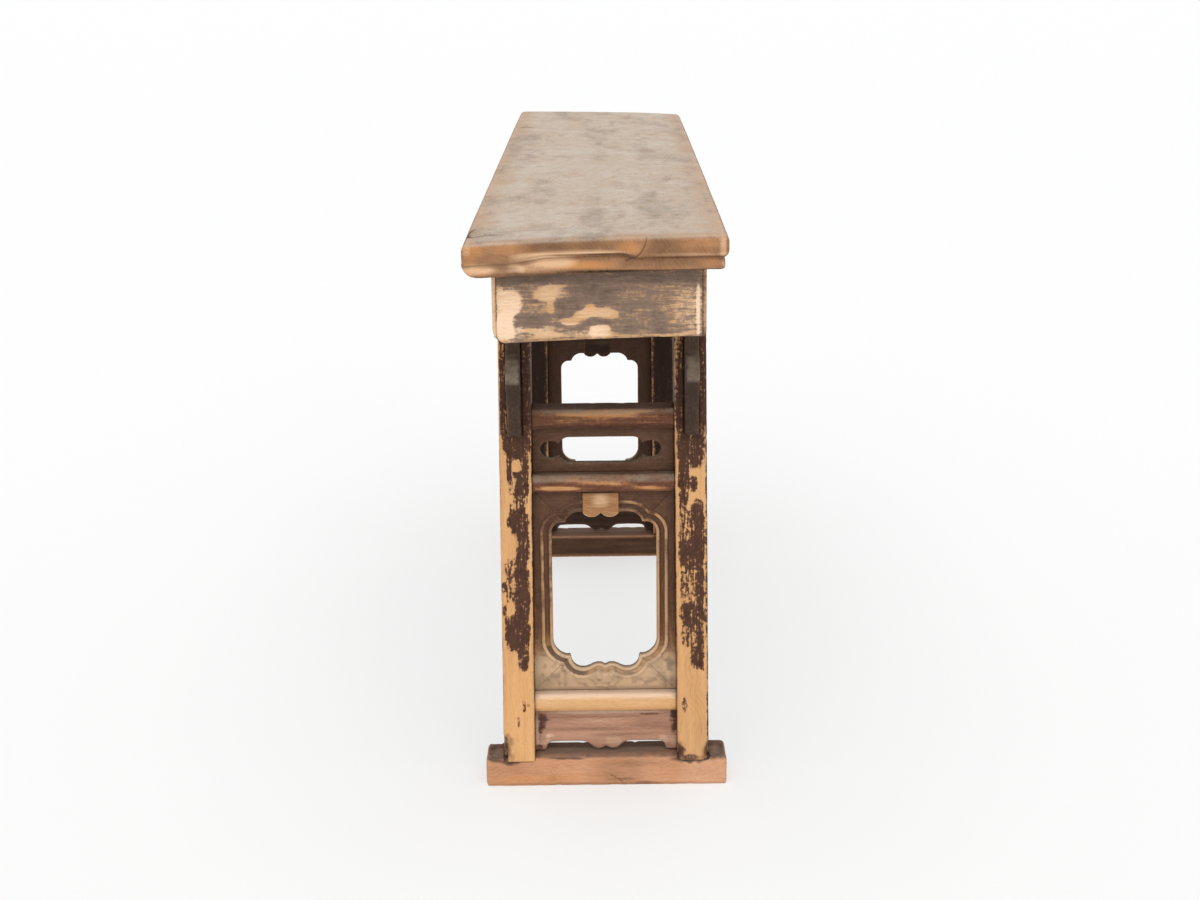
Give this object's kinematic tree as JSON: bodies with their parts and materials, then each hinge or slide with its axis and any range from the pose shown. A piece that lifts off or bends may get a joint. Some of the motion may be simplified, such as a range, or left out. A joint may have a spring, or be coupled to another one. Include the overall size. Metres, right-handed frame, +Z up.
{
  "type": "chinese altar table",
  "caption": "Long narrow recessed-leg altar table: plank top, aprons with cloud spandrels, and end frames with pierced and scalloped panels on sled feet.",
  "frame": {"origin": "on the floor under the middle of the top plank", "axes": "+X along the table towards its right end, +Y across it to the back, +Z up"},
  "size_m": [1.826, 0.3636, 0.88],
  "materials": {
    "plank": "worn lacquer over bare wood",
    "apron": "worn lacquer over bare wood",
    "leg": "honey wood with old dark lacquer",
    "spandrel": "dark worn lacquer",
    "stretcher": "dark worn lacquer",
    "panel": "dark worn lacquer",
    "block": "bare light wood",
    "skirt": "bare wood",
    "sled": "bare wood",
    "hidden_wood": "bare wood"
  },
  "bodies": {
    "root": {"top_plank": "plank", "long_apron_front": "apron", "long_apron_back": "apron", "end_apron_right": "apron", "cross_tie_right": "hidden_wood", "leg_front_right": "leg", "leg_back_right": "leg", "spandrel_front_right": "spandrel", "spandrel_back_right": "spandrel", "upper_stretcher_right": "stretcher", "middle_stretcher_right": "stretcher", "lower_stretcher_right": "stretcher", "pierced_panel_right": "panel", "frame_top_right": "panel", "frame_bottom_right": "panel", "frame_front_right": "panel", "frame_back_right": "panel", "centre_block_right": "block", "skirt_right": "skirt", "sled_foot_right": "sled", "stretcher_pegs_right": "hidden_wood", "foot_wedges_right": "hidden_wood", "end_apron_left": "apron", "cross_tie_left": "hidden_wood", "leg_front_left": "leg", "leg_back_left": "leg", "spandrel_front_left": "spandrel", "spandrel_back_left": "spandrel", "upper_stretcher_left": "stretcher", "middle_stretcher_left": "stretcher", "lower_stretcher_left": "stretcher", "pierced_panel_left": "panel", "frame_top_left": "panel", "frame_bottom_left": "panel", "frame_front_left": "panel", "frame_back_left": "panel", "centre_block_left": "block", "skirt_left": "skirt", "sled_foot_left": "sled", "stretcher_pegs_left": "hidden_wood", "foot_wedges_left": "hidden_wood"}
  },
  "joints": []
}
